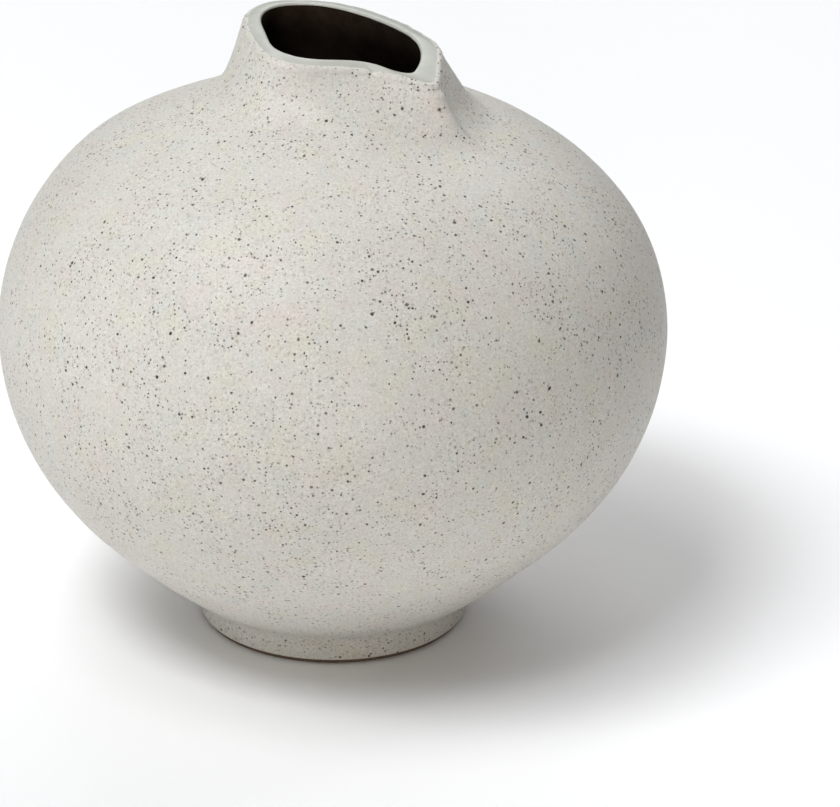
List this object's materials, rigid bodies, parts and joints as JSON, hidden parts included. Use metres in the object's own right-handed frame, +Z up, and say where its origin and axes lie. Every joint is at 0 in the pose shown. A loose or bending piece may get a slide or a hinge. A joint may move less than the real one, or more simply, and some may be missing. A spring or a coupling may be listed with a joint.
{
  "type": "bud vase",
  "caption": "Round-bellied stoneware bud vase with a low turned foot and a short pinched neck whose leaf-shaped mouth holds a few stems.",
  "frame": {"origin": "centre of the foot on the table", "axes": "+Z up along the axis of the belly; -Y towards the side from which the mouth's pinched corner is seen at the front right"},
  "size_m": [0.1201, 0.1202, 0.1102],
  "materials": {
    "bare_clay": "unglazed, fine sandy",
    "clay_body": "unglazed, fine sandy",
    "speckled_glaze": "matt, off-white with dark speckles",
    "rim_band": "smooth satin, pale grey-green",
    "liner_glaze": "satin, dark brown"
  },
  "bodies": {
    "root": {"foot_ring": "bare_clay", "lower_bowl": "clay_body", "shoulder_bowl": "clay_body", "neck_collar": "clay_body", "outer_glaze": "speckled_glaze", "rim_glaze": "rim_band", "inner_glaze": "liner_glaze"}
  },
  "joints": []
}
